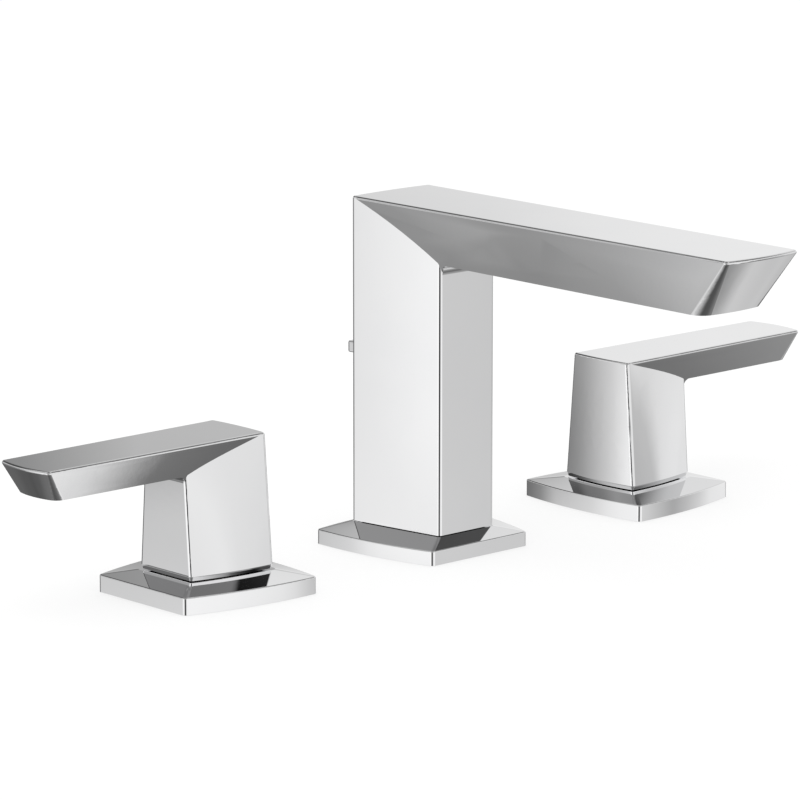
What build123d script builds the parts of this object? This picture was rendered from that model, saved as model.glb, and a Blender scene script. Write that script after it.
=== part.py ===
from build123d import *
from dataclasses import dataclass, replace
import math
import os

# A widespread basin faucet: a spout, a lift rod and two quarter-turn handles on one deck.
# Millimetres. +Z is up, the deck's top face is z = 0, and the spout's arm points to -Y.
# The origin is the spout's shank axis on the deck. Each handle unit is drawn with its lever
# towards -Y, like the spout, and then turned so that the lever points away from the spout.

# Layout
HANDLE_CENTRES = 203.2
DECK_THICKNESS = 30.0

# Clearances
FIT = 0.1
RUNNING = 0.05
GAP = 0.3
OVERRUN = 1.0

# Plates, one keystone outline for all three
PLATE_FRONT_WIDTH = 44.0
PLATE_BACK_WIDTH = 57.6
PLATE_DEPTH = 51.4
PLATE_SIDE_BOW = 2.3
PLATE_BACK_BOW = 2.7
PLATE_CORNER = 1.4
PLATE_EDGE_ROUND = 0.4
PLATE_ROUND_SHARE = 0.11
PLATE_CEILING = 1.8
PLATE_POCKET_INSET = 5.0
GASKET_INSET = 1.5
GASKET_THICKNESS = 1.2
SPOUT_PLATE_SHIFT = 1.6
SPOUT_PLATE_EDGE = 5.0
SPOUT_PLATE_TOP = 7.4
HANDLE_PLATE_EDGE = 5.8
HANDLE_PLATE_TOP = 7.6
HANDLE_PLATE_LIP = 0.9

# Spout column
COLUMN_FRONT_WIDTH = 25.2
COLUMN_BACK_WIDTH = 36.2
COLUMN_FRONT_REACH = 20.5
COLUMN_BACK_REACH = 18.0
COLUMN_SIDE_BOW = 0.15
COLUMN_BACK_BOW = 0.9
COLUMN_CORNER = 1.3
SPOUT_WALL = 3.2
SPOUT_HEIGHT = 121.0

# Spout arm
ARM_REACH = 157.2
ARM_THICKNESS = 19.6
ARM_TIP_WIDTH = 33.4
ARM_UNDER_TIP_WIDTH = 29.4
ARM_UNDERCUT = 13.6
ARM_TIP_BOW = 1.6
ARM_TOP_CORNER = 1.4
ARM_UNDER_CORNER = 5.0
ARM_ROOT_FILLET = 3.6
EDGE_ROUND = 0.8
EDGE_ROUND_SHARE = 0.55

# Outlet in the arm's underside
OUTLET_SETBACK = 17.0
AERATOR_RADIUS = 10.5
AERATOR_HEIGHT = 5.4
AERATOR_RECESS = 0.5
AERATOR_LIP = 2.3
AERATOR_SEAL_THICKNESS = 1.2
AERATOR_SEAL_BORE = 7.4
INSERT_HEIGHT = 4.1
INSERT_HOLE_RADIUS = 0.8
INSERT_HOLE_PITCH = 2.5
CHAMBER_RADIUS = 7.0

# Waterway
WATERWAY_DROP = 7.6
TUBE_RADIUS = 3.6
TUBE_BORE = 2.8
TUBE_BEND = 12.0
TUBE_ROOM = 0.8
TUBE_SOCKET = 3.0

# Spout shank, plug and tee
SHANK_RADIUS = 8.5
SHANK_BORE = 5.0
SHANK_BELOW = 88.0
PLUG_HEIGHT = 10.0
TEE_RADIUS = 11.5
TEE_SOCKET = 10.0
TEE_HEIGHT = 25.0
NIPPLE_RADIUS = 5.2
NIPPLE_BORE = 3.4
NIPPLE_LENGTH = 14.0
NIPPLE_COLLAR_RADIUS = 6.6
NIPPLE_COLLAR_WIDTH = 2.5
SPOUT_WASHER_RADIUS = 17.0
SPOUT_NUT_FLATS = 27.0

# Clamping below the deck
RUBBER_THICKNESS = 3.0
STEEL_THICKNESS = 1.5
NUT_HEIGHT = 8.0

# Lift rod behind the column
ROD_RADIUS = 1.6
ROD_BOTTOM = -95.0
ROD_PLACE_SHARE = 0.42
ROD_TIP_RADIUS = 1.2
ROD_TIP_LENGTH = 40.0
KNOB_BOTTOM = 63.4
KNOB_HEIGHT = 3.9
KNOB_FRONT_WIDTH = 13.0
KNOB_BACK_WIDTH = 15.0
KNOB_CLEARANCE = 1.3
KNOB_BACK_REACH = 10.0
KNOB_CORNER = 1.2
KNOB_ROUND = 0.5
BUSH_RADIUS = 2.6
BUSH_FOOT = 2.4
BUSH_TOP = 8.2

# Handle block, lever and their common top
BLOCK_FRONT_WIDTH = 25.7
BLOCK_BACK_WIDTH = 33.9
BLOCK_FRONT_REACH = 15.3
BLOCK_BACK_REACH = 17.1
BLOCK_SIDE_BOW = 1.1
BLOCK_BACK_BOW = 1.2
BLOCK_CORNER = 1.3
BLOCK_BEVEL_HEIGHT = 1.5
BLOCK_BEVEL_INSET = 0.5
BLOCK_TOP_FRONT_WIDTH = 19.8
BLOCK_TOP_BACK_WIDTH = 27.2
BLOCK_TOP_BOW = 0.7
HANDLE_HEIGHT = 53.4
LEVER_REACH = 73.6
LEVER_THICKNESS = 10.6
LEVER_TIP_WIDTH = 25.1
LEVER_UNDER_TIP_WIDTH = 20.4
LEVER_UNDERCUT = 5.5
LEVER_TIP_BOW = 1.8
LEVER_TOP_CORNER = 1.4
LEVER_UNDER_CORNER = 3.6
LEVER_ROOT_FILLET = 2.4

# Valve under each handle
CAVITY_RADIUS = 12.0
CAVITY_TOP = 21.0
VALVE_SHANK_RADIUS = 12.5
VALVE_SHANK_BELOW = 50.0
NECK_RADIUS = 9.2
NECK_TOP = 14.0
VALVE_HEX_FLATS = 26.0
VALVE_HEX_HEIGHT = 16.0
INLET_RADIUS = 10.3
INLET_LENGTH = 18.0
INLET_BORE = 6.0
OUTLET_BOSS_RADIUS = 6.8
OUTLET_BOSS_REACH = 20.0
OUTLET_TURN = 30.0
PASSAGE_RADIUS = 2.4
PASSAGE_OFFSET = 3.4
CARTRIDGE_RADIUS = 7.6
CARTRIDGE_SHELL = 0.8
CARTRIDGE_SHOULDER_DROP = 2.0
CARTRIDGE_NECK_RADIUS = 5.2
CARTRIDGE_NECK_TOP = 20.0
CARTRIDGE_FLOOR = -11.0
CARTRIDGE_CROWN = 4.0
SEAL_THICKNESS = 1.6
DISC_THICKNESS = 2.5
STEM_RADIUS = 3.6
STEM_FOOT_RADIUS = 6.5
STEM_FOOT_HEIGHT = 4.0
STEM_TOP = 31.0
BONNET_FLATS = 20.2
BONNET_FOOT = 9.5
BONNET_LID = 4.0
ADAPTER_RADIUS = 7.5
ADAPTER_CAP = 2.0
SCREW_RADIUS = 2.0
SCREW_HEIGHT = 27.0
SCREW_REACH = 11.6
SCREW_SOCKET_FLATS = 2.0
SCREW_SOCKET_DEPTH = 2.5
RING_NUT_RADIUS = 16.0
RING_NUT_HEIGHT = 3.2
GLIDE_RADIUS = 13.8
GLIDE_SUNK = 1.0
HANDLE_WASHER_RADIUS = 19.0
HANDLE_NUT_FLATS = 36.0


@dataclass(frozen=True)
class Keystone:
    """A plan outline that is narrow at the front (-Y) and wide at the back, with bowed sides."""
    front: float
    back: float
    front_reach: float
    back_reach: float
    front_bow: float = 0
    side_bow: float = 0
    back_bow: float = 0
    front_corner: float = 0
    back_corner: float = 0

    def inset(self, gap):
        """The same outline moved inwards by gap, or outwards where gap is negative."""
        return replace(
            self,
            front=self.front - 2 * gap,
            back=self.back - 2 * gap,
            front_reach=self.front_reach - gap,
            back_reach=self.back_reach - gap,
            front_corner=max(self.front_corner - gap, self.front_corner / 2),
            back_corner=max(self.back_corner - gap, self.back_corner / 2),
        )

    def face(self, z):
        """The outline as a face at height z."""
        corners = [
            Vector(-self.front / 2, -self.front_reach),
            Vector(self.front / 2, -self.front_reach),
            Vector(self.back / 2, self.back_reach),
            Vector(-self.back / 2, self.back_reach),
        ]
        bows = [self.front_bow, self.side_bow, self.back_bow, self.side_bow]
        sides = [
            bowed_side(corners[i], corners[(i + 1) % len(corners)], bow)
            for i, bow in enumerate(bows)
        ]
        outline = make_face(sides)
        middle = (self.back_reach - self.front_reach) / 2
        front = [v for v in outline.vertices() if v.Y < middle]
        if self.front_corner > 0:
            outline = fillet(front, self.front_corner)
        back = [v for v in outline.vertices() if v.Y > middle]
        if self.back_corner > 0:
            outline = fillet(back, self.back_corner)
        return Pos(0, 0, z) * outline


def bowed_side(start, end, bow):
    """A straight side, or an arc that stands out by bow at its middle."""
    if bow <= 0:
        return Line(start, end)
    run = end - start
    outwards = Vector(run.Y, -run.X).normalized()
    return ThreePointArc(start, (start + end) / 2 + outwards * bow, end)


def tube_z(radius, bottom, top, bore=0):
    """A round piece on the Z axis from bottom to top, with an optional through bore."""
    piece = Pos(0, 0, (bottom + top) / 2) * Cylinder(radius, top - bottom)
    if bore > 0:
        piece -= Pos(0, 0, (bottom + top) / 2) * Cylinder(bore, top - bottom + OVERRUN)
    return piece


def rod_y(radius, start, end, x=0, z=0):
    """A round bar along Y from start to end."""
    return Pos(x, (start + end) / 2, z) * Rot(X=90) * Cylinder(radius, abs(end - start))


def rod_x(radius, start, end, y=0, z=0):
    """A round bar along X from start to end."""
    return Pos((start + end) / 2, y, z) * Rot(Y=90) * Cylinder(radius, abs(end - start))


def hex_z(flats, bottom, top):
    """A hexagonal bar on the Z axis, measured across its flats."""
    outline = RegularPolygon(flats / 2, 6, major_radius=False)
    return Pos(0, 0, bottom) * extrude(outline, top - bottom)


def edges_at(piece, z):
    """The edges that lie in the level plane at z."""
    return [e for e in piece.edges() if all(abs(v.Z - z) < RUNNING for v in e.vertices())
            and abs(e.center().Z - z) < RUNNING]


def edge_round(*corners):
    """The radius along a top edge, which stays smaller than the plan corners it turns through."""
    return min(EDGE_ROUND, EDGE_ROUND_SHARE * min(corners))


def plate_outline(shift):
    """The keystone outline of a plate whose middle lies shift in front of the axis."""
    return Keystone(
        PLATE_FRONT_WIDTH, PLATE_BACK_WIDTH,
        PLATE_DEPTH / 2 + shift, PLATE_DEPTH / 2 - shift,
        0, PLATE_SIDE_BOW, PLATE_BACK_BOW, PLATE_CORNER, PLATE_CORNER,
    )


def column_outline():
    """The plan section of the spout's column."""
    return Keystone(
        COLUMN_FRONT_WIDTH, COLUMN_BACK_WIDTH, COLUMN_FRONT_REACH, COLUMN_BACK_REACH,
        0, COLUMN_SIDE_BOW, COLUMN_BACK_BOW, COLUMN_CORNER, COLUMN_CORNER,
    )


def block_outline():
    """The plan outline of a handle's block just above its bevel."""
    return Keystone(
        BLOCK_FRONT_WIDTH, BLOCK_BACK_WIDTH, BLOCK_FRONT_REACH, BLOCK_BACK_REACH,
        0, BLOCK_SIDE_BOW, BLOCK_BACK_BOW, BLOCK_CORNER, BLOCK_CORNER,
    )


def make_plate(outline, edge, crown, top):
    """A low plate: an upright edge, then four facets that rise to the crown outline at top."""
    wall = extrude(outline.face(0), edge)
    roof = loft([outline.face(edge), crown.face(top)], ruled=True)
    plate = wall + roof
    run = min(outline.front_reach - crown.front_reach, outline.back_reach - crown.back_reach)
    plate = fillet(edges_at(plate, edge), min(PLATE_EDGE_ROUND, PLATE_ROUND_SHARE * run))
    plate -= extrude(outline.inset(GASKET_INSET).face(0), GASKET_THICKNESS)
    plate -= extrude(outline.inset(PLATE_POCKET_INSET).face(0), edge - PLATE_CEILING)
    return plate


def make_gasket(outline, hole):
    """The flat seal that fills the rebate in a plate's underside."""
    pad = extrude(outline.inset(GASKET_INSET + FIT).face(0), GASKET_THICKNESS)
    return pad - tube_z(hole, -OVERRUN, GASKET_THICKNESS + OVERRUN)


def arm_top():
    return SPOUT_HEIGHT


def arm_bottom():
    return SPOUT_HEIGHT - ARM_THICKNESS


def waterway_level():
    """The height of the arm's waterway, which passes above the aerator."""
    return SPOUT_HEIGHT - WATERWAY_DROP


def outlet_y():
    """The outlet's axis, set back from the lower edge of the tip."""
    return -(ARM_REACH - ARM_UNDERCUT - OUTLET_SETBACK)


def underside(top, undercut, tip_width, tip_corner, root_width, root_reach):
    """The outline below the top outline of an arm or lever, root_width wide at the upright."""
    reach = top.front_reach - undercut
    back_reach = top.back_reach / 2
    widening = (root_width - tip_width) / (reach - root_reach)
    back_width = root_width + widening * (root_reach + back_reach)
    return replace(
        top, front=tip_width, back=back_width, front_reach=reach, back_reach=back_reach,
        back_bow=0, front_corner=tip_corner,
    )


def make_spout_body():
    """The keystone tube of the spout: the column, mitred forward into the arm."""
    foot = SPOUT_PLATE_TOP + GAP
    column = extrude(column_outline().face(foot), arm_top() - foot)
    column = fillet(edges_at(column, arm_top()), edge_round(COLUMN_CORNER))
    top = Keystone(
        ARM_TIP_WIDTH, COLUMN_BACK_WIDTH, ARM_REACH, COLUMN_BACK_REACH,
        ARM_TIP_BOW, 0, COLUMN_BACK_BOW, ARM_TOP_CORNER, COLUMN_CORNER,
    )
    under = underside(
        top, ARM_UNDERCUT, ARM_UNDER_TIP_WIDTH, ARM_UNDER_CORNER,
        COLUMN_FRONT_WIDTH, COLUMN_FRONT_REACH,
    )
    arm = loft([under.face(arm_bottom()), top.face(arm_top())], ruled=True)
    arm = fillet(edges_at(arm, arm_top()), edge_round(COLUMN_CORNER, ARM_TOP_CORNER))
    body = column + arm
    inner = [e for e in edges_at(body, arm_bottom())
             if abs(e.center().Y + COLUMN_FRONT_REACH) < RUNNING]
    body = fillet(inner, ARM_ROOT_FILLET)

    gallery_radius = TUBE_RADIUS + TUBE_ROOM
    hollow_top = waterway_level() + gallery_radius + TUBE_ROOM
    hollow = extrude(column_outline().inset(SPOUT_WALL).face(foot), hollow_top - foot)
    gallery = rod_y(gallery_radius, outlet_y(), 0, z=waterway_level())
    seat_top = arm_bottom() + AERATOR_RECESS + AERATOR_HEIGHT + AERATOR_SEAL_THICKNESS
    seat = tube_z(AERATOR_RADIUS + FIT, arm_bottom() - OVERRUN, seat_top)
    chamber = tube_z(CHAMBER_RADIUS, arm_bottom(), waterway_level() + TUBE_BORE)
    return body - hollow - gallery - Pos(0, outlet_y(), 0) * (seat + chamber)


def make_base_plug():
    """The plug that closes the column's foot and takes the shank."""
    foot = SPOUT_PLATE_TOP + GAP
    plug = extrude(column_outline().inset(SPOUT_WALL + FIT).face(foot), PLUG_HEIGHT)
    return plug - tube_z(SHANK_RADIUS + RUNNING, foot - OVERRUN, foot + PLUG_HEIGHT + OVERRUN)


def make_spout_shank():
    """The threaded tube that goes from the plug through the deck into the tee."""
    top = SPOUT_PLATE_TOP + GAP + PLUG_HEIGHT
    shank = tube_z(SHANK_RADIUS, -SHANK_BELOW, top, SHANK_BORE)
    return chamfer(edges_at(shank, -SHANK_BELOW) + edges_at(shank, top), GAP)


def make_waterway_tube():
    """The tube from the tee, up the shank and column, and forward along the arm."""
    bottom = -SHANK_BELOW - TUBE_SOCKET
    level = waterway_level()
    end = outlet_y() + AERATOR_RADIUS + TUBE_ROOM
    path = FilletPolyline((0, 0, bottom), (0, 0, level), (0, end, level), radius=TUBE_BEND)
    ring = Circle(TUBE_RADIUS) - Circle(TUBE_BORE)
    return sweep(Pos(0, 0, bottom) * ring, path=path)


def make_nipple(direction, start):
    """A hose nipple along +X (direction 1) or -X (direction -1), with its collar at the root."""
    end = start + NIPPLE_LENGTH
    stem = rod_x(NIPPLE_RADIUS, 0, direction * end)
    collar = rod_x(NIPPLE_COLLAR_RADIUS, 0, direction * (start + NIPPLE_COLLAR_WIDTH))
    tip = [e for e in stem.edges() if abs(abs(e.center().X) - end) < RUNNING]
    return chamfer(tip, GAP) + collar


def make_inlet_tee():
    """The tee below the spout where the hoses from the two valves meet."""
    top = -SHANK_BELOW + TEE_SOCKET
    bottom = top - TEE_HEIGHT
    level = (-SHANK_BELOW + bottom) / 2
    tee = tube_z(TEE_RADIUS, bottom, top)
    tee = chamfer(edges_at(tee, bottom) + edges_at(tee, top), OVERRUN)
    for direction in (-1, 1):
        tee += Pos(0, 0, level) * make_nipple(direction, TEE_RADIUS)
    reach = TEE_RADIUS + NIPPLE_LENGTH + OVERRUN
    tee -= tube_z(SHANK_RADIUS + RUNNING, -SHANK_BELOW, top + OVERRUN)
    tee -= tube_z(TUBE_RADIUS + RUNNING, level, top)
    tee -= rod_x(NIPPLE_BORE, -reach, reach, z=level)
    return tee


def make_aerator_housing():
    """The round cup in the outlet, with a lip that holds the insert."""
    bottom = arm_bottom() + AERATOR_RECESS
    cup = tube_z(AERATOR_RADIUS, bottom, bottom + AERATOR_HEIGHT)
    cup -= tube_z(AERATOR_RADIUS - AERATOR_LIP, bottom + AERATOR_LIP / 2, bottom + AERATOR_HEIGHT)
    cup -= tube_z(AERATOR_RADIUS - 2 * AERATOR_LIP + OVERRUN, bottom - OVERRUN, bottom + AERATOR_LIP)
    return Pos(0, outlet_y(), 0) * cup


def make_aerator_insert():
    """The stream former: a disc with a honeycomb of small holes."""
    bottom = arm_bottom() + AERATOR_RECESS + AERATOR_LIP / 2
    radius = AERATOR_RADIUS - AERATOR_LIP - FIT
    disc = tube_z(radius, bottom, bottom + INSERT_HEIGHT)
    rings = int((radius - AERATOR_LIP) / INSERT_HOLE_PITCH)
    for column in range(-rings, rings + 1):
        for row in range(-rings, rings + 1):
            x = INSERT_HOLE_PITCH * (column + row / 2)
            y = INSERT_HOLE_PITCH * row * math.sin(math.pi / 3)
            if math.hypot(x, y) < rings * INSERT_HOLE_PITCH + RUNNING:
                hole = tube_z(INSERT_HOLE_RADIUS, bottom - OVERRUN, bottom + INSERT_HEIGHT + OVERRUN)
                disc -= Pos(x, y, 0) * hole
    return Pos(0, outlet_y(), 0) * disc


def make_aerator_seal():
    """The flat rubber ring above the aerator housing."""
    bottom = arm_bottom() + AERATOR_RECESS + AERATOR_HEIGHT
    ring = tube_z(AERATOR_RADIUS - FIT, bottom, bottom + AERATOR_SEAL_THICKNESS, AERATOR_SEAL_BORE)
    return Pos(0, outlet_y(), 0) * ring


def make_clamp(shank, washer, flats):
    """The rubber washer, steel washer and nut that clamp a shank below the deck."""
    rubber_top = -DECK_THICKNESS
    steel_top = rubber_top - RUBBER_THICKNESS
    nut_top = steel_top - STEEL_THICKNESS
    hole = shank + FIT
    rubber = tube_z(washer, steel_top, rubber_top, hole)
    steel = tube_z(washer, nut_top, steel_top, hole)
    nut = hex_z(flats, nut_top - NUT_HEIGHT, nut_top)
    nut -= tube_z(hole, nut_top - NUT_HEIGHT - OVERRUN, nut_top + OVERRUN)
    return rubber, steel, nut


def rod_setback():
    """How far the rod's axis stands behind the column, which is a share of the plate's ledge."""
    column_back = COLUMN_BACK_REACH + COLUMN_BACK_BOW
    plate_back = PLATE_DEPTH / 2 - SPOUT_PLATE_SHIFT + PLATE_BACK_BOW
    return ROD_PLACE_SHARE * (plate_back - column_back)


def at_rod(piece):
    """A piece drawn on the Z axis, moved to the rod's place."""
    return Pos(0, COLUMN_BACK_REACH + COLUMN_BACK_BOW + rod_setback(), 0) * piece


def make_lift_knob():
    """The flat keystone block on the lift rod, which overhangs to the back for the fingers."""
    outline = Keystone(
        KNOB_FRONT_WIDTH, KNOB_BACK_WIDTH, rod_setback() - KNOB_CLEARANCE, KNOB_BACK_REACH,
        0, 0, 0, KNOB_CORNER, KNOB_CORNER,
    )
    top = KNOB_BOTTOM + KNOB_HEIGHT
    knob = extrude(outline.face(KNOB_BOTTOM), KNOB_HEIGHT)
    knob = fillet(edges_at(knob, KNOB_BOTTOM) + edges_at(knob, top), KNOB_ROUND)
    return at_rod(knob - tube_z(ROD_RADIUS + RUNNING, KNOB_BOTTOM - OVERRUN, rod_top()))


def rod_top():
    """The rod ends in the knob, three quarters of the way up."""
    rod_share = 0.75
    return KNOB_BOTTOM + KNOB_HEIGHT * rod_share


def make_lift_rod():
    """The rod from the knob to below the deck, turned down where the waste's strap grips it."""
    tip_top = ROD_BOTTOM + ROD_TIP_LENGTH
    tip = tube_z(ROD_TIP_RADIUS, ROD_BOTTOM, tip_top)
    tip = chamfer(edges_at(tip, ROD_BOTTOM), GAP)
    return at_rod(tip + tube_z(ROD_RADIUS, tip_top, rod_top()))


def make_lift_bush():
    """The nylon bush that guides the rod through the spout's plate."""
    return at_rod(tube_z(BUSH_RADIUS, BUSH_FOOT, BUSH_TOP, ROD_RADIUS + RUNNING))


def make_spout_escutcheon():
    plate = make_plate(
        plate_outline(SPOUT_PLATE_SHIFT), SPOUT_PLATE_EDGE,
        column_outline().inset(-GAP), SPOUT_PLATE_TOP,
    )
    plate -= tube_z(SHANK_RADIUS + FIT, 0, SPOUT_PLATE_TOP + OVERRUN)
    return plate - at_rod(tube_z(BUSH_RADIUS + RUNNING, 0, BUSH_TOP + OVERRUN))


def make_spout_gasket():
    gasket = make_gasket(plate_outline(SPOUT_PLATE_SHIFT), SHANK_RADIUS + FIT)
    return gasket - at_rod(tube_z(BUSH_RADIUS, -OVERRUN, GASKET_THICKNESS + OVERRUN))


def block_foot():
    return HANDLE_PLATE_TOP + GAP


def make_handle(side):
    """The handle casting: the keystone block mitred into the lever, hollow over the valve.

    side is 1 or -1, the local X side of the set screw, which faces the wall behind the basin.
    """
    foot = block_foot()
    shoulder = foot + BLOCK_BEVEL_HEIGHT
    base = block_outline()
    block_top = Keystone(
        BLOCK_TOP_FRONT_WIDTH, BLOCK_TOP_BACK_WIDTH, BLOCK_FRONT_REACH, BLOCK_BACK_REACH,
        0, 0, BLOCK_TOP_BOW, BLOCK_CORNER, BLOCK_CORNER,
    )
    bevel = loft([base.inset(BLOCK_BEVEL_INSET).face(foot), base.face(shoulder)], ruled=True)
    block = loft([base.face(shoulder), block_top.face(HANDLE_HEIGHT)], ruled=True)
    block = fillet(edges_at(block, HANDLE_HEIGHT), edge_round(BLOCK_CORNER))
    lever_top = Keystone(
        LEVER_TIP_WIDTH, BLOCK_TOP_BACK_WIDTH, LEVER_REACH, BLOCK_BACK_REACH,
        LEVER_TIP_BOW, 0, BLOCK_TOP_BOW, LEVER_TOP_CORNER, BLOCK_CORNER,
    )
    level = HANDLE_HEIGHT - LEVER_THICKNESS
    rise_share = (level - shoulder) / (HANDLE_HEIGHT - shoulder)
    root_width = BLOCK_FRONT_WIDTH + rise_share * (BLOCK_TOP_FRONT_WIDTH - BLOCK_FRONT_WIDTH)
    lever_under = underside(
        lever_top, LEVER_UNDERCUT, LEVER_UNDER_TIP_WIDTH, LEVER_UNDER_CORNER,
        root_width, BLOCK_FRONT_REACH,
    )
    lever = loft([lever_under.face(level), lever_top.face(HANDLE_HEIGHT)], ruled=True)
    lever = fillet(edges_at(lever, HANDLE_HEIGHT), edge_round(BLOCK_CORNER, LEVER_TOP_CORNER))
    handle = bevel + block + lever
    inner = [e for e in edges_at(handle, level)
             if abs(e.center().Y + BLOCK_FRONT_REACH) < RUNNING]
    handle = fillet(inner, LEVER_ROOT_FILLET)
    handle -= tube_z(CAVITY_RADIUS, foot - OVERRUN, CAVITY_TOP)
    handle -= tube_z(ADAPTER_RADIUS + FIT, foot, STEM_TOP + ADAPTER_CAP)
    reach = side * BLOCK_BACK_WIDTH
    return handle - rod_x(SCREW_RADIUS + RUNNING, 0, reach, z=SCREW_HEIGHT)


def make_adapter(side):
    """The splined brass insert in the handle that drops over the stem."""
    adapter = tube_z(ADAPTER_RADIUS, CAVITY_TOP + GAP, STEM_TOP + ADAPTER_CAP)
    adapter -= tube_z(STEM_RADIUS + RUNNING, CAVITY_TOP, STEM_TOP + RUNNING)
    return adapter - rod_x(SCREW_RADIUS + RUNNING, 0, side * CAVITY_RADIUS, z=SCREW_HEIGHT)


def make_set_screw(side):
    """The grub screw that locks the handle to the stem, with its hexagon socket."""
    start = side * (STEM_RADIUS + RUNNING)
    end = side * SCREW_REACH
    screw = rod_x(SCREW_RADIUS, start, end, z=SCREW_HEIGHT)
    socket = hex_z(SCREW_SOCKET_FLATS, -SCREW_SOCKET_DEPTH, SCREW_SOCKET_DEPTH)
    return screw - Pos(end, 0, SCREW_HEIGHT) * Rot(Y=90) * socket


def make_handle_escutcheon():
    plate = make_plate(
        plate_outline(0), HANDLE_PLATE_EDGE,
        block_outline().inset(-HANDLE_PLATE_LIP), HANDLE_PLATE_TOP,
    )
    plate -= tube_z(NECK_RADIUS + FIT, 0, HANDLE_PLATE_TOP + OVERRUN)
    return plate - tube_z(GLIDE_RADIUS + FIT, HANDLE_PLATE_TOP - GLIDE_SUNK, HANDLE_PLATE_TOP + OVERRUN)


def make_handle_gasket():
    return make_gasket(plate_outline(0), RING_NUT_RADIUS + GAP)


def make_ring_nut():
    """The thin brass nut on the deck, hidden inside the plate."""
    return tube_z(RING_NUT_RADIUS, 0, RING_NUT_HEIGHT, VALVE_SHANK_RADIUS + FIT)


def make_glide_ring():
    """The nylon ring that the handle turns over, sunk in the plate."""
    return tube_z(GLIDE_RADIUS, HANDLE_PLATE_TOP - GLIDE_SUNK, HANDLE_PLATE_TOP, NECK_RADIUS + FIT)


def outlet_level():
    """The height of a valve's side outlet, in the middle of its hexagon."""
    return -VALVE_SHANK_BELOW - VALVE_HEX_HEIGHT / 2


def make_valve_body(side):
    """The brass body: neck, threaded shank, hexagon with side outlet, and supply inlet.

    The outlet points to the spout, turned OUTLET_TURN degrees back to pass behind its shank.
    """
    turn = Rot(Z=-side * OUTLET_TURN)
    hex_bottom = -VALVE_SHANK_BELOW - VALVE_HEX_HEIGHT
    inlet_bottom = hex_bottom - INLET_LENGTH
    shoulder = HANDLE_PLATE_EDGE - PLATE_CEILING
    body = tube_z(VALVE_SHANK_RADIUS, -VALVE_SHANK_BELOW, shoulder)
    body += tube_z(NECK_RADIUS, shoulder, NECK_TOP)
    body += turn * hex_z(VALVE_HEX_FLATS, hex_bottom, -VALVE_SHANK_BELOW)
    inlet = tube_z(INLET_RADIUS, inlet_bottom, hex_bottom)
    body += chamfer(edges_at(inlet, inlet_bottom), OVERRUN)
    level = outlet_level()
    body += turn * rod_y(OUTLET_BOSS_RADIUS, 0, OUTLET_BOSS_REACH, z=level)
    body += turn * rod_y(NIPPLE_RADIUS, 0, OUTLET_BOSS_REACH + NIPPLE_LENGTH, z=level)
    body -= tube_z(CARTRIDGE_RADIUS + RUNNING, CARTRIDGE_FLOOR, NECK_TOP + OVERRUN)
    body -= tube_z(INLET_BORE, inlet_bottom - OVERRUN, hex_bottom)
    supply = tube_z(PASSAGE_RADIUS, hex_bottom - OVERRUN, CARTRIDGE_FLOOR + OVERRUN)
    outlet = tube_z(PASSAGE_RADIUS, level, CARTRIDGE_FLOOR + OVERRUN)
    body -= Pos(0, -PASSAGE_OFFSET, 0) * supply
    body -= Pos(0, PASSAGE_OFFSET, 0) * outlet
    reach = OUTLET_BOSS_REACH + NIPPLE_LENGTH + OVERRUN
    return body - turn * rod_y(NIPPLE_BORE, GAP, reach, z=level)


def cartridge_bottom():
    return CARTRIDGE_FLOOR + SEAL_THICKNESS


def drill_ports(disc, bottom, top):
    """Two ports through a disc, over the valve body's two passages."""
    for y in (-PASSAGE_OFFSET, PASSAGE_OFFSET):
        disc -= Pos(0, y, 0) * tube_z(PASSAGE_RADIUS, bottom - OVERRUN, top + OVERRUN)
    return disc


def make_cartridge():
    """The cartridge's shell, open below over the discs, with the neck that guides the stem."""
    shoulder = NECK_TOP - CARTRIDGE_SHOULDER_DROP
    shell = tube_z(CARTRIDGE_RADIUS, cartridge_bottom(), shoulder)
    shell += tube_z(CARTRIDGE_NECK_RADIUS, shoulder, CARTRIDGE_NECK_TOP)
    room = CARTRIDGE_RADIUS - CARTRIDGE_SHELL
    shell -= tube_z(room, cartridge_bottom(), shoulder - CARTRIDGE_CROWN)
    return shell - tube_z(STEM_RADIUS + RUNNING, cartridge_bottom(), CARTRIDGE_NECK_TOP + OVERRUN)


def make_cartridge_seal():
    """The rubber seat between the valve body's floor and the cartridge."""
    top = cartridge_bottom()
    return drill_ports(tube_z(CARTRIDGE_RADIUS - RUNNING, CARTRIDGE_FLOOR, top), CARTRIDGE_FLOOR, top)


def disc_radius():
    return CARTRIDGE_RADIUS - CARTRIDGE_SHELL - FIT


def make_fixed_disc():
    """The lower ceramic disc, with the two ports."""
    bottom = cartridge_bottom()
    top = bottom + DISC_THICKNESS
    return drill_ports(tube_z(disc_radius(), bottom, top), bottom, top)


def moving_disc_bottom():
    return cartridge_bottom() + DISC_THICKNESS + RUNNING


def make_moving_disc():
    """The upper ceramic disc. Its groove joins the two ports only after a quarter turn."""
    bottom = moving_disc_bottom()
    disc = tube_z(disc_radius(), bottom, bottom + DISC_THICKNESS)
    groove = Box(2 * (PASSAGE_OFFSET + PASSAGE_RADIUS), 2 * PASSAGE_RADIUS, DISC_THICKNESS)
    return disc - Pos(0, 0, bottom) * groove


def make_stem():
    """The stem: a foot that drives the moving disc, and a shaft up into the adapter."""
    bottom = moving_disc_bottom() + DISC_THICKNESS
    stem = tube_z(STEM_FOOT_RADIUS, bottom, bottom + STEM_FOOT_HEIGHT)
    return stem + tube_z(STEM_RADIUS, bottom, STEM_TOP)


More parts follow.
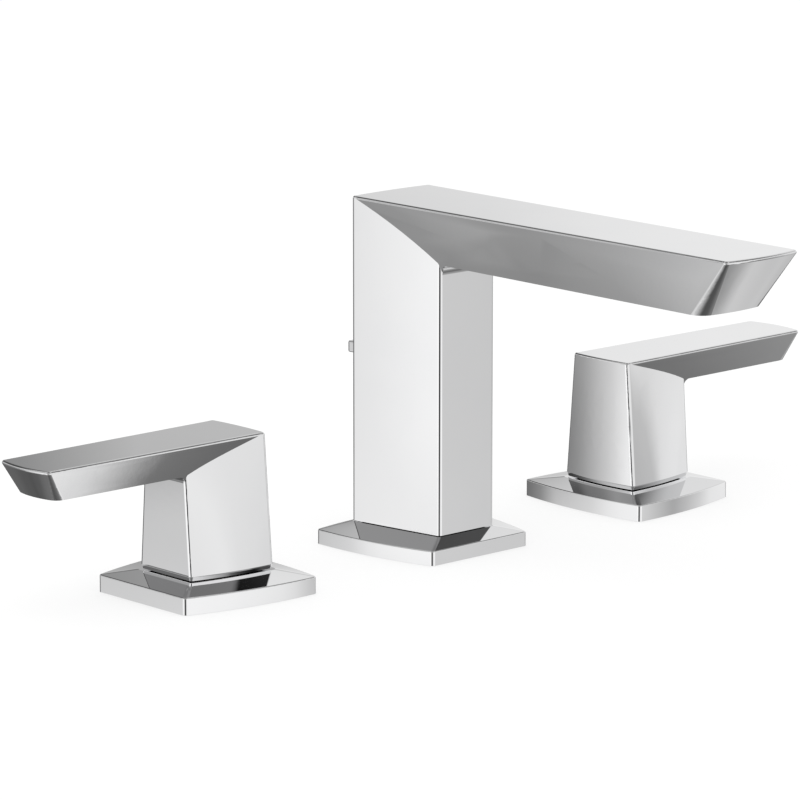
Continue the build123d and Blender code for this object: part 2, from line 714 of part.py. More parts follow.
def make_bonnet_nut():
    """The cap nut on the neck that holds the cartridge down."""
    lid_bottom = NECK_TOP + RUNNING
    nut = hex_z(BONNET_FLATS, BONNET_FOOT, lid_bottom + BONNET_LID)
    nut -= tube_z(NECK_RADIUS + RUNNING, BONNET_FOOT - OVERRUN, lid_bottom)
    return nut - tube_z(CARTRIDGE_NECK_RADIUS + FIT, BONNET_FOOT, lid_bottom + BONNET_LID + OVERRUN)


def spout_unit():
    """Every piece of the spout unit and the lift rod."""
    rubber, steel, nut = make_clamp(SHANK_RADIUS, SPOUT_WASHER_RADIUS, SPOUT_NUT_FLATS)
    return {
        "spout_body": make_spout_body(),
        "spout_base_plug": make_base_plug(),
        "spout_escutcheon": make_spout_escutcheon(),
        "spout_gasket": make_spout_gasket(),
        "spout_shank": make_spout_shank(),
        "waterway_tube": make_waterway_tube(),
        "inlet_tee": make_inlet_tee(),
        "aerator_housing": make_aerator_housing(),
        "aerator_insert": make_aerator_insert(),
        "aerator_seal": make_aerator_seal(),
        "spout_rubber_washer": rubber,
        "spout_steel_washer": steel,
        "spout_mounting_nut": nut,
        "lift_knob": make_lift_knob(),
        "lift_rod": make_lift_rod(),
        "lift_rod_bush": make_lift_bush(),
    }


def handle_unit(name, side):
    """Every piece of one handle unit. side is -1 for the left unit and 1 for the right one."""
    rubber, steel, nut = make_clamp(VALVE_SHANK_RADIUS, HANDLE_WASHER_RADIUS, HANDLE_NUT_FLATS)
    pieces = {
        "handle": make_handle(side),
        "handle_adapter": make_adapter(side),
        "set_screw": make_set_screw(side),
        "escutcheon": make_handle_escutcheon(),
        "gasket": make_handle_gasket(),
        "ring_nut": make_ring_nut(),
        "glide_ring": make_glide_ring(),
        "valve_body": make_valve_body(side),
        "cartridge": make_cartridge(),
        "cartridge_seal": make_cartridge_seal(),
        "fixed_disc": make_fixed_disc(),
        "moving_disc": make_moving_disc(),
        "valve_stem": make_stem(),
        "bonnet_nut": make_bonnet_nut(),
        "rubber_washer": rubber,
        "steel_washer": steel,
        "lock_nut": nut,
    }
    place = Pos(side * HANDLE_CENTRES / 2, 0, 0) * Rot(Z=side * 90)
    return {f"{name}_{piece}": place * shape for piece, shape in pieces.items()}


def main():
    """Build every piece and write one STEP file per piece."""
    os.makedirs("parts", exist_ok=True)
    pieces = {**spout_unit(), **handle_unit("left", -1), **handle_unit("right", 1)}
    for name, shape in pieces.items():
        export_step(shape, f"parts/{name}.step")
    print(len(pieces), "pieces")


main()
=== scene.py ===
import logging
import math
from dataclasses import dataclass, field, replace
from enum import Enum
from typing import Sequence, Union

import bpy
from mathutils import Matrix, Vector

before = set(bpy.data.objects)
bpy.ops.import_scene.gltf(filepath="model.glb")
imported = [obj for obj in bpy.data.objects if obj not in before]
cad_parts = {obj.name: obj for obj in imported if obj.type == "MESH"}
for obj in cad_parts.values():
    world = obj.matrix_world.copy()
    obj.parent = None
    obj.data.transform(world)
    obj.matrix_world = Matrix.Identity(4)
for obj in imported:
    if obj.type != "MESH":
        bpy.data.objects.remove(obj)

LOG = logging.getLogger("faucet")
MM = 0.001
TURN = 360.0
REACH = 45.0  # how far away, in millimetres, a piece is still mirrored, see Graph.near_only
FADE = 0.15  # the share of the reach over which its mirror image fades
CLEAR_LAYERS = 64  # how many surfaces beyond the reach a mirrored ray may pass
WHITE = (1.0, 1.0, 1.0, 1.0)

Value = Union[float, "Signal"]
Colour = tuple[float, float, float]


class Side(Enum):
    """The two handle units, with the place of each unit's axis along X in millimetres."""

    LEFT = -101.6
    RIGHT = 101.6

    @property
    def prefix(self) -> str:
        """The start of the names of this unit's nodes."""
        return self.name.lower()


def linear(tone: float) -> float:
    """The light of a display tone.

    Args:
        tone: The tone on a display, from 0 to 1.

    Returns:
        The linear light that shows as that tone.
    """
    if tone <= 0.04045:
        return tone / 12.92
    return ((tone + 0.055) / 1.055) ** 2.4


def grey(tone: float) -> tuple[float, float, float, float]:
    """The opaque grey that shows as a display tone."""
    light = linear(tone)
    return (light, light, light, 1.0)


class Signal:
    """A shader value that Python expressions turn into Math nodes."""

    def __init__(self, graph: "Graph", socket: bpy.types.NodeSocket) -> None:
        """Keeps the graph and the output socket that carries the value."""
        self.graph = graph
        self.socket = socket

    def _join(self, operation: str, first: Value, second: Value) -> "Signal":
        """Adds one Math node for an operator."""
        return self.graph.node("ShaderNodeMath", {"operation": operation}, {0: first, 1: second})

    def __add__(self, other: Value) -> "Signal":
        """self + other."""
        return self._join("ADD", self, other)

    def __radd__(self, other: Value) -> "Signal":
        """other + self."""
        return self._join("ADD", other, self)

    def __sub__(self, other: Value) -> "Signal":
        """self - other."""
        return self._join("SUBTRACT", self, other)

    def __rsub__(self, other: Value) -> "Signal":
        """other - self."""
        return self._join("SUBTRACT", other, self)

    def __mul__(self, other: Value) -> "Signal":
        """self * other."""
        return self._join("MULTIPLY", self, other)

    def __rmul__(self, other: Value) -> "Signal":
        """other * self."""
        return self._join("MULTIPLY", other, self)

    def __truediv__(self, other: Value) -> "Signal":
        """self / other."""
        return self._join("DIVIDE", self, other)

    def __rtruediv__(self, other: Value) -> "Signal":
        """other / self."""
        return self._join("DIVIDE", other, self)

    def __gt__(self, other: Value) -> "Signal":
        """1 where self is greater than other, and 0 elsewhere."""
        return self._join("GREATER_THAN", self, other)

    def __lt__(self, other: Value) -> "Signal":
        """1 where self is less than other, and 0 elsewhere."""
        return self._join("LESS_THAN", self, other)

    def __abs__(self) -> "Signal":
        """The size of self."""
        return self._join("ABSOLUTE", self, 0.0)

    def apply(self, operation: str, other: Value = 0.0) -> "Signal":
        """Any other Math operation on self, such as ARCTAN2 or FRACT."""
        return self._join(operation, self, other)


class Graph:
    """A node tree, filled one node at a time."""

    def __init__(self, tree: bpy.types.NodeTree) -> None:
        """Empties the tree."""
        self.tree = tree
        tree.nodes.clear()

    def node(
        self,
        kind: str,
        settings: dict[str, object] | None = None,
        inputs: dict[Union[str, int], object] | None = None,
        output: Union[str, int] = 0,
    ) -> Signal:
        """Adds a node: its settings first, then its sockets.

        Args:
            kind: The node's type.
            settings: Its properties. The key stops holds a colour ramp's (place, colour) pairs.
            inputs: A value, colour or Signal for each socket name or number.
            output: The socket that the result reads.

        Returns:
            The output socket as a Signal.
        """
        made = self.tree.nodes.new(kind)
        for name, value in (settings or {}).items():
            if name == "stops":
                self._set_stops(made.color_ramp, value)
            else:
                setattr(made, name, value)
        for name, value in (inputs or {}).items():
            if isinstance(value, Signal):
                self.tree.links.new(value.socket, made.inputs[name])
            else:
                made.inputs[name].default_value = value
        return Signal(self, made.outputs[output] if made.outputs else made.inputs[0])

    @staticmethod
    def _set_stops(ramp: bpy.types.ColorRamp, stops: Sequence[tuple[float, tuple]]) -> None:
        """Puts a ramp's stops in place.

        Args:
            ramp: The ramp of a Color Ramp node.
            stops: Pairs of place, from 0 to 1, and colour, in rising order.
        """
        while len(ramp.elements) > 1:
            ramp.elements.remove(ramp.elements[-1])
        ramp.elements[0].position, ramp.elements[0].color = stops[0]
        for place, colour in stops[1:]:
            ramp.elements.new(place).color = colour

    def smooth(self, value: Value, low: float, high: float) -> Signal:
        """0 below low, 1 above high, and a smooth rise between."""
        return self.node(
            "ShaderNodeMapRange", {"interpolation_type": "SMOOTHSTEP"},
            {"Value": value, "From Min": low, "From Max": high},
        )

    def blend(self, factor: Value, first: object, second: object) -> Signal:
        """A colour that goes from first to second as factor goes from 0 to 1."""
        return self.node(
            "ShaderNodeMix", {"data_type": "RGBA"}, {0: factor, 6: first, 7: second}, 2
        )

    def place(self) -> tuple[Signal, Signal, Signal]:
        """The x, y and z of a point of the piece, in metres in the shared frame."""
        spot = self.node("ShaderNodeTexCoord", output="Object")
        return self.parts(spot)

    def parts(self, vector: Signal) -> tuple[Signal, Signal, Signal]:
        """The three numbers of a vector."""
        split = self.node("ShaderNodeSeparateXYZ", inputs={0: vector})
        sockets = split.socket.node.outputs
        return Signal(self, sockets[0]), Signal(self, sockets[1]), Signal(self, sockets[2])

    def near_only(self, surface: Signal, reach: float) -> Signal:
        """Keeps a surface out of the mirror images on pieces that stand farther away.

        Args:
            surface: The shader of the surface.
            reach: How far away, in millimetres, a polished piece still mirrors it.

        Returns:
            The shader, clear to mirrored rays that are longer than the reach.
        """
        mirrored = self.node("ShaderNodeLightPath", output="Is Glossy Ray")
        length = self.node("ShaderNodeLightPath", output="Ray Length")
        far = mirrored * self.smooth(length, (1 - FADE) * reach * MM, (1 + FADE) * reach * MM)
        clear = self.node("ShaderNodeBsdfTransparent")
        return self.node("ShaderNodeMixShader", None, {0: far, 1: surface, 2: clear})

    def noise(self, scale: float, detail: float, stretch: Colour = (1.0, 1.0, 1.0)) -> Signal:
        """Noise around 0.5 over the piece.

        Args:
            scale: Waves per metre.
            detail: Finer layers.
            stretch: A factor for each axis.

        Returns:
            The noise value.
        """
        spot = self.node("ShaderNodeTexCoord", output="Object")
        spread = self.node("ShaderNodeVectorMath", {"operation": "MULTIPLY"}, {0: spot, 1: stretch})
        return self.node(
            "ShaderNodeTexNoise", None, {"Vector": spread, "Scale": scale, "Detail": detail}
        )


@dataclass(frozen=True)
class Thread:
    """A screw thread that is cut into a round shank. Its sizes are in millimetres."""

    centre_x: float
    radius: float
    bottom: float
    top: float
    pitch: float = 1.8
    depth: float = 0.5
    skin: float = 0.2  # how far from the radius a face still takes the thread

    def height(self, graph: Graph) -> Signal:
        """The thread's profile, 0 in its root and 1 on its crest.

        Args:
            graph: The material's graph.

        Returns:
            The height, flat away from the shank's threaded length.
        """
        x, y, z = graph.place()
        across = x - self.centre_x * MM
        turn = y.apply("ARCTAN2", across) / (2 * math.pi)
        wave = (z / (self.pitch * MM) + turn).apply("FRACT")
        ridge = abs(wave - 0.5) * 2.0
        reach = (across * across + y * y).apply("SQRT")
        round_face = abs(reach - self.radius * MM) < self.skin * MM
        shank = round_face * (z > self.bottom * MM) * (z < self.top * MM)
        return 1.0 - shank * (1.0 - ridge)


@dataclass(frozen=True)
class MetalFinish:
    """A metal surface: its colour, polish, handling marks and machining."""

    name: str
    colour: Colour
    dull: Colour
    roughness: float
    spread: float
    mark_scale: float
    grain: Colour = (1.0, 1.0, 1.0)
    bump: float = 0.02
    thread: Thread | None = None
    reach: float = REACH
    fine_scale: float = 14.0  # the fine marks' scale, as a multiple of the broad marks'
    levels: tuple[float, float] = (0.35, 0.75)  # the noise from which and at which marks show
    broad_share: float = 0.6  # the broad marks' share in the roughness
    mark_depth: float = 0.02  # millimetres

    def material(self) -> bpy.types.Material:
        """The finish as a material."""
        made = bpy.data.materials.new(self.name)
        made.use_nodes = True
        graph = Graph(made.node_tree)
        marks = graph.noise(self.mark_scale, 4.0, self.grain)
        fine = graph.noise(self.mark_scale * self.fine_scale, 2.0, self.grain)
        shade = graph.smooth(marks, *self.levels)
        colour = graph.blend(shade, (*self.colour, 1.0), (*self.dull, 1.0))
        wear = self.broad_share * shade + (1 - self.broad_share) * fine
        roughness = self.roughness + self.spread * wear
        relief = fine * self.bump
        distance = self.mark_depth * MM
        if self.thread is not None:
            relief = relief + self.thread.height(graph)
            distance = self.thread.depth * MM
        normal = graph.node(
            "ShaderNodeBump", None, {"Strength": 1.0, "Distance": distance, "Height": relief}
        )
        surface = graph.node(
            "ShaderNodeBsdfPrincipled", None,
            {"Base Color": colour, "Metallic": 1.0, "Roughness": roughness, "Normal": normal},
        )
        shown = graph.near_only(surface, self.reach)
        graph.node("ShaderNodeOutputMaterial", None, {"Surface": shown})
        return made


@dataclass(frozen=True)
class MouldedFinish:
    """A moulded or fired surface that isn't metal: rubber, nylon or ceramic."""

    name: str
    colour: Colour
    shade: Colour
    roughness: float
    spread: float
    speckle: float
    bump: float
    coat: float = 0.0
    reach: float = REACH
    fine_scale: float = 9.0  # the fine grain's scale, as a multiple of the broad grain's
    levels: tuple[float, float] = (0.3, 0.7)  # the noise from which and at which shade shows
    fine_share: float = 0.6  # the fine grain's share in the relief
    grain_depth: float = 0.1  # millimetres

    def material(self) -> bpy.types.Material:
        """The finish as a material."""
        made = bpy.data.materials.new(self.name)
        made.use_nodes = True
        graph = Graph(made.node_tree)
        broad = graph.noise(self.speckle, 3.0)
        fine = graph.noise(self.speckle * self.fine_scale, 2.0)
        shade = graph.smooth(broad, *self.levels)
        colour = graph.blend(shade, (*self.colour, 1.0), (*self.shade, 1.0))
        relief = broad * (1 - self.fine_share) + fine * self.fine_share
        normal = graph.node(
            "ShaderNodeBump", None,
            {"Strength": self.bump, "Distance": self.grain_depth * MM, "Height": relief},
        )
        surface = graph.node(
            "ShaderNodeBsdfPrincipled", None,
            {
                "Base Color": colour, "Roughness": self.roughness + self.spread * fine,
                "Normal": normal, "Coat Weight": self.coat,
            },
        )
        shown = graph.near_only(surface, self.reach)
        graph.node("ShaderNodeOutputMaterial", None, {"Surface": shown})
        return made


CHROME = MetalFinish(
    "polished_chrome", (0.93, 0.93, 0.935), (0.91, 0.912, 0.92), 0.022, 0.02, 30.0, bump=0.05,
)
SATIN_ROD = MetalFinish(
    "chromed_rod", (0.90, 0.90, 0.905), (0.84, 0.845, 0.85), 0.05, 0.06, 60.0,
    (1.0, 1.0, 0.2), 0.1,
)
BRASS = MetalFinish(
    "machined_brass", (0.78, 0.60, 0.31), (0.60, 0.44, 0.22), 0.20, 0.18, 45.0,
    (1.0, 1.0, 9.0), 0.9,
)
COPPER = MetalFinish(
    "drawn_copper", (0.86, 0.48, 0.34), (0.62, 0.30, 0.20), 0.22, 0.2, 50.0,
    (1.0, 1.0, 0.15), 0.5,
)
STEEL = MetalFinish(
    "brushed_steel", (0.62, 0.62, 0.63), (0.50, 0.50, 0.52), 0.26, 0.2, 90.0,
    (1.0, 8.0, 1.0), 0.8,
)
RUBBER = MouldedFinish(
    "black_rubber", (0.025, 0.025, 0.026), (0.045, 0.045, 0.045), 0.62, 0.2, 160.0, 0.5,
)
NYLON = MouldedFinish(
    "white_nylon", (0.80, 0.80, 0.77), (0.72, 0.72, 0.69), 0.38, 0.15, 220.0, 0.25,
)
CERAMIC = MouldedFinish(
    "lapped_ceramic", (0.88, 0.87, 0.83), (0.83, 0.82, 0.77), 0.12, 0.08, 300.0, 0.05, 0.6,
)


def threaded(name: str, thread: Thread) -> MetalFinish:
    """Machined brass with a thread, whose fine marks are faint beside it.

    Args:
        name: The finish's name.
        thread: The thread on the piece's shank.

    Returns:
        The finish.
    """
    return replace(BRASS, name=name, bump=0.05, thread=thread)


class Bench:
    """Keeps the materials that are made, so that pieces of one finish share one."""

    def __init__(self) -> None:
        """Starts with no material."""
        self.made: dict[Union[MetalFinish, MouldedFinish], bpy.types.Material] = {}

    def dress(self, node: str, finish: Union[MetalFinish, MouldedFinish]) -> None:
        """Gives one CAD piece its finish.

        Args:
            node: The piece's name.
            finish: The finish that it takes.
        """
        if finish not in self.made:
            self.made[finish] = finish.material()
        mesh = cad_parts[node].data
        mesh.materials.clear()
        mesh.materials.append(self.made[finish])
        LOG.info("%s: %s", node, finish.name)

    @staticmethod
    def enclose(node: str) -> None:
        """Keeps a piece that stands inside others out of all mirror images."""
        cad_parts[node].visible_glossy = False


@dataclass
class SpoutUnit:
    """The spout on its plate, with its outlet, waterway, shank and clamp, in millimetres."""

    shank_radius: float = 8.5
    shank_bottom: float = -87.5
    shank_top: float = -1.5
    thread_pitch: float = 1.5
    thread_depth: float = 0.45
    chromed: tuple[str, ...] = ("spout_body", "spout_escutcheon", "aerator_housing")
    brass: tuple[str, ...] = ("spout_base_plug", "inlet_tee", "spout_mounting_nut")
    rubber: tuple[str, ...] = ("spout_gasket", "spout_rubber_washer", "aerator_seal")
    enclosed: tuple[str, ...] = ("spout_base_plug", "waterway_tube", "aerator_seal")

    def dress(self, bench: Bench) -> None:
        """Dresses every piece of the spout unit."""
        for node in self.chromed:
            bench.dress(node, CHROME)
        for node in self.brass:
            bench.dress(node, BRASS)
        for node in self.rubber:
            bench.dress(node, RUBBER)
        bench.dress("aerator_insert", NYLON)
        bench.dress("waterway_tube", COPPER)
        bench.dress("spout_steel_washer", STEEL)
        bench.dress("spout_shank", threaded("threaded_shank_brass", self.thread()))
        for node in self.enclosed:
            bench.enclose(node)

    def thread(self) -> Thread:
        """The shank's thread."""
        return Thread(
            0.0, self.shank_radius, self.shank_bottom, self.shank_top,
            self.thread_pitch, self.thread_depth,
        )


@dataclass
class LiftRod:
    """The rod and knob that work the pop-up waste, and the bush in the plate."""

    knob: str = "lift_knob"
    rod: str = "lift_rod"
    bush: str = "lift_rod_bush"

    def dress(self, bench: Bench) -> None:
        """Dresses the knob, the rod and the bush."""
        bench.dress(self.knob, CHROME)
        bench.dress(self.rod, SATIN_ROD)
        bench.dress(self.bush, NYLON)


@dataclass
class HandleUnit:
    """One lever handle on its plate, with the quarter-turn valve below it, in millimetres."""

    side: Side
    shank_radius: float = 12.5
    shank_bottom: float = -50.0
    shank_top: float = -1.0
    chromed: tuple[str, ...] = ("handle", "escutcheon")
    brass: tuple[str, ...] = ("handle_adapter", "ring_nut", "bonnet_nut", "valve_stem", "lock_nut")
    steel: tuple[str, ...] = ("set_screw", "steel_washer")
    rubber: tuple[str, ...] = ("gasket", "rubber_washer", "cartridge_seal")
    nylon: tuple[str, ...] = ("glide_ring", "cartridge")
    ceramic: tuple[str, ...] = ("fixed_disc", "moving_disc")
    enclosed: tuple[str, ...] = (
        "handle_adapter", "ring_nut", "bonnet_nut", "valve_stem", "cartridge", "cartridge_seal",
        "fixed_disc", "moving_disc", "valve_body",
    )

    def dress(self, bench: Bench) -> None:
        """Dresses every piece of the handle unit."""
        groups = (
            (self.chromed, CHROME), (self.brass, BRASS), (self.steel, STEEL),
            (self.rubber, RUBBER), (self.nylon, NYLON), (self.ceramic, CERAMIC),
        )
        prefix = self.side.prefix
        for names, finish in groups:
            for name in names:
                bench.dress(f"{prefix}_{name}", finish)
        body = threaded(f"{prefix}_threaded_body_brass", self.thread())
        bench.dress(f"{prefix}_valve_body", body)
        for name in self.enclosed:
            bench.enclose(f"{prefix}_{name}")

    def thread(self) -> Thread:
        """The thread on the shank of the valve's body."""
        return Thread(self.side.value, self.shank_radius, self.shank_bottom, self.shank_top)


@dataclass(frozen=True)
class Ring:
    """One level of the studio that the chrome mirrors, as display tones around the horizon.

    Azimuth 0 is +X and 90 is +Y, towards the wall. The tones run from 0 to 1.
    """

    elevation: float
    tones: tuple[tuple[float, float], ...]

    def stops(self) -> list[tuple[float, tuple]]:
        """The ring's tones as the stops of a ramp, joined at azimuth 0."""
        pairs = sorted(self.tones)
        first, last = pairs[0], pairs[-1]
        gap = first[0] + TURN - last[0]
        seam = last[1] + (first[1] - last[1]) * (TURN - last[0]) / gap
        ring = [(0.0, seam)] * (first[0] > 0) + pairs + [(TURN, seam)]
        return [(azimuth / TURN, grey(tone)) for azimuth, tone in ring]


# The studio's tones were set facet by facet, until the chrome looked as it should.
# The dark bands near azimuth 216 give the upright edges their thin dark lines.
STUDIO = (
    Ring(-75, ((30, 0.25), (106, 0.20), (180, 0.30), (227, 0.30), (300, 0.32), (340, 0.40))),
    Ring(-58, ((10, 0.70), (60, 0.35), (106, 0.30), (150, 0.45), (176, 0.59), (195, 0.50),
               (227, 0.40), (270, 0.40), (320, 0.41), (338, 0.48), (352, 0.68))),
    Ring(-47, ((8, 0.80), (35, 0.50), (70, 0.33), (112, 0.29), (120, 0.36), (126, 0.44),
               (160, 0.70), (195, 0.75), (208, 0.52), (240, 0.52), (262, 0.60), (300, 0.48),
               (318, 0.42), (336, 0.50), (344, 0.66), (350, 0.78))),
    Ring(-39, ((4, 0.77), (30, 0.45), (60, 0.34), (88, 0.33), (112, 0.34), (120, 0.47),
               (130, 0.60), (160, 0.78), (195, 0.80), (208, 0.58), (240, 0.58), (262, 0.70),
               (295, 0.84), (313.8, 0.92), (315, 0.80), (316, 0.54), (317, 0.33), (319, 0.44),
               (330, 0.47), (345, 0.70))),
    Ring(-31, ((8, 0.74), (30, 0.45), (60, 0.36), (104, 0.38), (116, 0.47), (120, 0.52),
               (124, 0.59), (126.5, 0.72), (130, 0.72), (145, 0.83), (160, 0.92), (195, 0.92),
               (206, 0.64), (240, 0.64), (262, 0.85), (300, 0.90), (313.8, 0.945), (314.5, 0.91),
               (315.1, 0.81), (315.6, 0.69), (316.1, 0.52), (316.5, 0.41), (317, 0.32),
               (318, 0.42), (325, 0.41), (345, 0.64))),
    Ring(-25, ((0, 0.65), (20, 0.40), (47, 0.36), (80, 0.38), (105, 0.43), (118, 0.43),
               (124, 0.475), (128, 0.55), (130.5, 0.61), (133, 0.70), (145, 0.85), (160, 0.95),
               (195, 0.96), (205, 0.68), (240, 0.68), (261, 0.90), (290, 0.90), (304, 0.88),
               (312, 0.84), (316, 0.56), (320, 0.52), (326, 0.60), (342, 0.76))),
    Ring(-19, ((0, 0.60), (20, 0.42), (47, 0.42), (68, 0.46), (105, 0.46), (118, 0.44),
               (127, 0.475), (130, 0.54), (131.5, 0.61), (133, 0.70), (134.5, 0.76), (140, 0.90),
               (150, 0.95), (165, 1.0), (195, 1.0), (205, 0.60), (238, 0.60), (261, 0.96),
               (284, 0.935), (296, 0.91), (304, 0.87), (309, 0.86), (312, 0.80), (316, 0.56),
               (320, 0.54), (326, 0.60), (342, 0.84))),
    Ring(-15.5, ((0, 0.60), (20, 0.45), (47, 0.40), (68, 0.45), (104, 0.50), (120, 0.66),
                 (126, 0.79), (132, 0.90), (136, 0.88), (145, 0.82), (160, 0.86), (195, 1.0),
                 (204, 0.30), (236, 0.30), (256, 0.86), (270, 0.95), (288, 0.93), (296, 0.905),
                 (304, 0.875), (308, 0.855), (312, 0.83), (316, 0.72), (326, 0.70), (342, 0.86))),
    Ring(-13.4, ((0, 0.60), (20, 0.40), (47, 0.34), (68, 0.38), (104, 0.38), (114, 0.43),
                 (120, 0.55), (126, 0.76), (129, 0.78), (136, 0.81), (140, 0.83), (146, 0.90),
                 (151, 0.93), (160, 0.95), (196, 1.0), (204, 0.07), (232, 0.07), (244, 0.76),
                 (256, 0.86), (266, 0.96), (288, 0.95), (304, 0.91), (309, 0.87), (312, 0.81),
                 (320, 0.71), (324, 0.66), (330, 0.74), (342, 0.90), (350, 0.90))),
    Ring(-12, ((0, 0.60), (20, 0.36), (47, 0.28), (68, 0.34), (104, 0.40), (114, 0.44),
               (120, 0.50), (128, 0.60), (132, 0.667), (140, 0.78), (144, 0.84),
               (148.5, 0.92), (151, 0.96), (196, 1.0), (204, 0.07), (232, 0.07),
               (244, 0.76), (256, 0.86), (266, 0.96), (288, 0.96), (304, 0.92), (309, 0.88),
               (312, 0.80), (320, 0.70), (324, 0.60), (330, 0.66), (336, 0.72), (342, 0.88),
               (350, 0.93))),
    Ring(-6, ((0, 0.85), (20, 0.70), (40, 0.88), (46, 0.85), (56, 0.55), (90, 0.50), (116, 0.60),
              (124, 0.62), (132, 0.74), (140, 0.84), (148, 0.93), (156, 0.98), (196, 1.0),
              (204, 0.07), (226, 0.07), (234, 0.86), (256, 0.91), (280, 0.885), (292, 0.91),
              (297, 0.87), (304, 0.86), (308, 0.847), (312, 0.81), (316, 0.71), (324, 0.74),
              (328, 0.87), (336, 0.91))),
    Ring(-1, ((0, 0.88), (40, 0.91), (44, 0.87), (48, 0.72), (52, 0.57), (80, 0.60), (104, 0.62),
              (116, 0.42), (138, 0.45), (156, 0.90), (196, 1.0), (204, 0.45), (226, 0.45),
              (236, 0.88), (288, 0.90), (304, 0.88), (324, 0.86), (340, 0.92))),
    Ring(4, ((0, 0.90), (40, 0.92), (46, 0.88), (52, 0.70), (80, 0.70), (104, 0.80), (120, 0.60),
             (136, 0.64), (156, 0.90), (196, 1.0), (204, 0.62), (232, 0.62), (246, 0.8),
             (280, 0.62), (320, 0.62), (340, 0.90))),
    Ring(8.5, ((0, 0.90), (36, 0.93), (40, 0.925), (44, 0.895), (48, 0.84), (54, 0.72),
               (80, 0.70), (104, 0.84), (132, 0.90), (190, 0.95), (204, 0.70), (236, 0.70),
               (256, 0.9), (300, 1.0), (330, 0.95))),
    Ring(12, ((0, 0.85), (20, 0.90), (40, 0.906), (44.8, 0.905), (46.8, 0.77), (49, 0.725),
              (51, 0.71), (52, 0.56), (52.8, 0.42), (60, 0.38), (80, 0.55), (104, 0.75),
              (132, 0.88), (190, 0.9), (204, 0.74), (240, 0.74), (260, 0.9), (300, 0.98),
              (330, 0.9))),
    Ring(17, ((0, 0.85), (33, 0.90), (44, 0.81), (48, 0.45), (53, 0.50), (60, 0.42), (80, 0.42),
              (106, 0.55), (132, 0.82), (160, 0.75), (200, 0.72), (227, 0.70), (260, 0.7),
              (300, 0.85), (330, 0.78))),
    Ring(30, ((0, 0.80), (28, 0.88), (33, 0.84), (44, 0.88), (48, 0.89), (52, 0.80), (56, 0.66),
              (60, 0.40), (64, 0.30), (90, 0.24), (106, 0.22), (117, 0.30), (122, 0.43),
              (130, 0.48), (137, 0.58), (160, 0.5), (200, 0.60), (227, 0.60), (260, 0.5),
              (300, 0.6), (306, 0.58), (307.5, 0.20), (318, 0.20), (320.5, 0.34), (328, 0.40),
              (336, 0.62), (344, 0.76), (352, 0.78))),
    Ring(40, ((0, 0.70), (20, 0.88), (35, 0.85), (50, 0.68), (58, 0.50), (68, 0.36), (85, 0.30),
              (104, 0.18), (112, 0.42), (118, 0.62), (124, 0.74), (134, 0.80), (142, 0.60),
              (150, 0.44), (180, 0.50), (227, 0.52), (280, 0.42), (300, 0.45), (306, 0.45),
              (307.5, 0.08), (318.5, 0.08), (320.5, 0.28), (330, 0.28), (334, 0.42),
              (345, 0.56))),
    Ring(52, ((4, 0.57), (40, 0.60), (72, 0.38), (90, 0.40), (96, 0.58), (108, 0.64),
              (122, 0.86), (150, 0.86), (180, 0.42), (227, 0.40), (275, 0.5), (292, 0.86),
              (318, 0.86), (348, 0.55))),
    Ring(66, ((40, 0.60), (90, 0.50), (120, 0.84), (150, 0.84), (190, 0.45), (227, 0.42),
              (275, 0.5), (292, 0.84), (318, 0.84), (348, 0.55))),
    Ring(85, ((60, 0.55), (240, 0.50))),
)


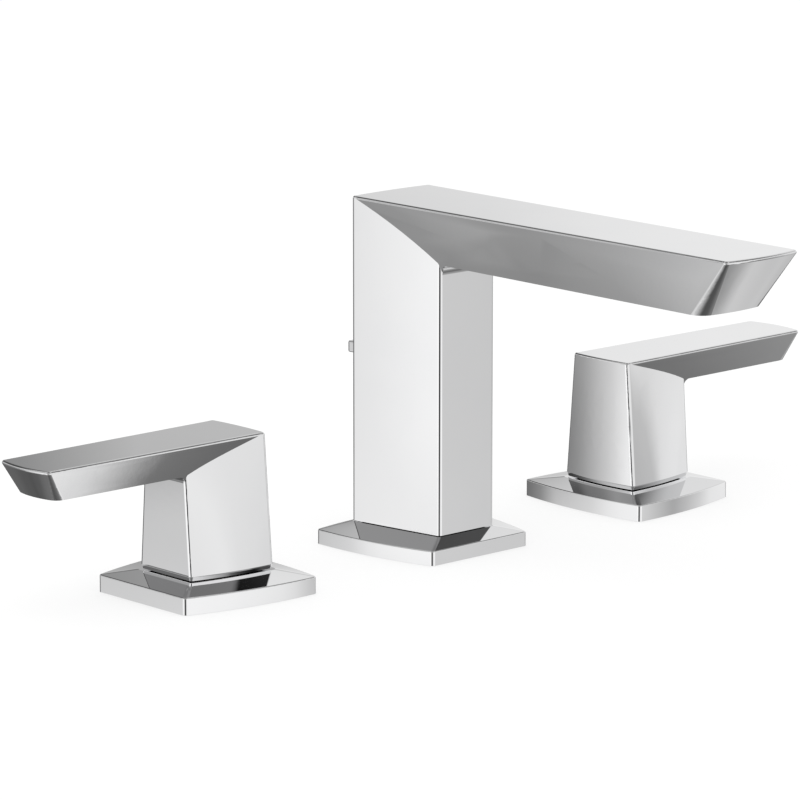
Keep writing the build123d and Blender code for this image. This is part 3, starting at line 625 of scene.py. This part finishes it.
@dataclass
class Studio:
    """The pale floor, the white surroundings, the soft lamp and the camera.

    The camera's sizes and the floor's level are in millimetres, the angles in degrees, and the
    floor's, the lamp's and the clipping sizes in metres.
    """

    lens: float = 215.26
    sensor: float = 36.0
    azimuth: float = -42.584
    elevation: float = 11.845
    distance: float = 1643.37
    aim: Colour = (-6.08, 6.51, 50.0)
    clip: tuple[float, float] = (0.05, 50.0)
    floor_size: float = 12.0
    floor_level: float = -0.2
    floor_tone: float = 0.9
    glow: float = 1.05  # the strength at which the floor shows white
    glow_share: float = 0.68  # the rest of the floor takes light and shadow
    lamp_size: tuple[float, float] = (1.6, 1.2)
    lamp_place: Colour = (-0.5, -0.5, 1.6)
    lamp_power: float = 6.0
    chrome_share: float = 0.93  # of the light that the chrome gives back
    rings: tuple[Ring, ...] = field(default=STUDIO)

    def build(self) -> None:
        """Builds the whole studio."""
        self.surround()
        self.floor()
        self.lamp()
        self.camera()

    def surround(self) -> None:
        """White surroundings, in which polished metal mirrors the studio's rings of tone."""
        world = bpy.data.worlds.new("studio")
        bpy.context.scene.world = world
        world.use_nodes = True
        graph = Graph(world.node_tree)
        way = graph.node("ShaderNodeTexCoord", output="Generated")
        x, y, z = graph.parts(way)
        turn = (y.apply("ARCTAN2", x) / (2 * math.pi) + 1.0).apply("FRACT")
        height = z.apply("ARCSINE") * (180 / math.pi)
        tone = None
        for below, ring in zip((None, *self.rings), self.rings):
            level = graph.node("ShaderNodeValToRGB", {"stops": ring.stops()}, {0: turn})
            if below is None:
                tone = level
            else:
                rise = graph.smooth(height, below.elevation, ring.elevation)
                tone = graph.blend(rise, tone, level)
        glossy = graph.node("ShaderNodeLightPath", output="Is Glossy Ray")
        mirrored = graph.node(
            "ShaderNodeVectorMath", {"operation": "SCALE"},
            {0: tone, "Scale": 1.0 / self.chrome_share},
        )
        colour = graph.blend(glossy, WHITE, mirrored)
        light = graph.node("ShaderNodeBackground", None, {"Color": colour, "Strength": 1.0})
        graph.node("ShaderNodeOutputWorld", None, {"Surface": light})

    def floor(self) -> bpy.types.Object:
        """The pale floor at the deck's level, which keeps a soft shadow.

        Returns:
            The floor's object.
        """
        half = self.floor_size / 2
        level = self.floor_level * MM
        corners = ((-half, -half), (half, -half), (half, half), (-half, half))
        mesh = bpy.data.meshes.new("floor")
        mesh.from_pydata([(x, y, level) for x, y in corners], [], [(0, 1, 2, 3)])
        made = bpy.data.objects.new("floor", mesh)
        bpy.context.scene.collection.objects.link(made)
        made.visible_glossy = False
        mesh.materials.append(self.floor_material())
        return made

    def floor_material(self) -> bpy.types.Material:
        """White card that glows enough to stay white, and is clear from below."""
        made = bpy.data.materials.new("floor_card")
        made.use_nodes = True
        graph = Graph(made.node_tree)
        tone = self.floor_tone
        card = graph.node("ShaderNodeBsdfDiffuse", None, {"Color": (tone, tone, tone, 1.0)})
        glow = graph.node("ShaderNodeEmission", None, {"Color": WHITE, "Strength": self.glow})
        top = graph.node("ShaderNodeMixShader", None, {0: self.glow_share, 1: card, 2: glow})
        clear = graph.node("ShaderNodeBsdfTransparent")
        under = graph.node("ShaderNodeNewGeometry", output="Backfacing")
        surface = graph.node("ShaderNodeMixShader", None, {0: under, 1: top, 2: clear})
        graph.node("ShaderNodeOutputMaterial", None, {"Surface": surface})
        return made

    def lamp(self) -> None:
        """One broad soft lamp above, which the chrome doesn't mirror."""
        light = bpy.data.lights.new("soft_lamp", "AREA")
        light.shape = "RECTANGLE"
        light.size, light.size_y = self.lamp_size
        light.energy = self.lamp_power
        made = bpy.data.objects.new("soft_lamp", light)
        bpy.context.scene.collection.objects.link(made)
        made.location = self.lamp_place
        made.rotation_euler = (-Vector(self.lamp_place)).to_track_quat("-Z", "Y").to_euler()
        made.visible_glossy = False

    def camera(self) -> None:
        """The camera at the photograph's angle and distance."""
        lens = bpy.data.cameras.new("camera")
        lens.lens, lens.sensor_width = self.lens, self.sensor
        lens.clip_start, lens.clip_end = self.clip
        made = bpy.data.objects.new("camera", lens)
        bpy.context.scene.collection.objects.link(made)
        turn, rise = math.radians(self.azimuth), math.radians(self.elevation)
        back = Vector((
            math.sin(turn) * math.cos(rise), -math.cos(turn) * math.cos(rise), math.sin(rise)
        ))
        made.location = (Vector(self.aim) + back * self.distance) * MM
        made.rotation_euler = (-back).to_track_quat("-Z", "Y").to_euler()
        bpy.context.scene.camera = made


def main() -> None:
    """Dresses the faucet and builds the studio."""
    logging.basicConfig(level=logging.INFO, format="%(name)s %(message)s")
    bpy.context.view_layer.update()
    bench = Bench()
    SpoutUnit().dress(bench)
    LiftRod().dress(bench)
    for side in Side:
        HandleUnit(side).dress(bench)
    Studio().build()
    bpy.context.scene.view_settings.view_transform = "Standard"
    bpy.context.scene.cycles.transparent_max_bounces = CLEAR_LAYERS


if __name__ == "__main__":
    main()
